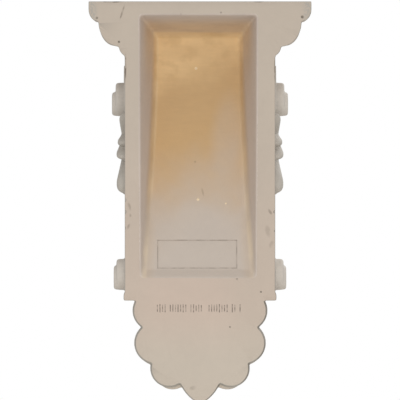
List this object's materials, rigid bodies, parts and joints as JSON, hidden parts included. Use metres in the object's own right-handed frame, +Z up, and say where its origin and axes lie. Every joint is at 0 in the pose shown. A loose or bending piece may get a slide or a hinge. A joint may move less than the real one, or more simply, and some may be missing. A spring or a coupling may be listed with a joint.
{
  "type": "corbel",
  "caption": "Moulded scroll corbel with a leaf-carved cap, side volutes, an acanthus front, a pendant leaf and a tapering hollow back.",
  "frame": {"origin": "centre of the flat back in the wall plane, at the height of the block's foot, where the pendant leaf starts", "axes": "+Z up, +Y out of the back into the wall, -Y the carved front, X across the width"},
  "size_m": [0.1984, 0.127, 0.3592],
  "materials": {
    "moulded_urethane": "matt stone-beige primer over moulded foam"
  },
  "bodies": {
    "root": {"corbel": "moulded_urethane"}
  },
  "joints": []
}
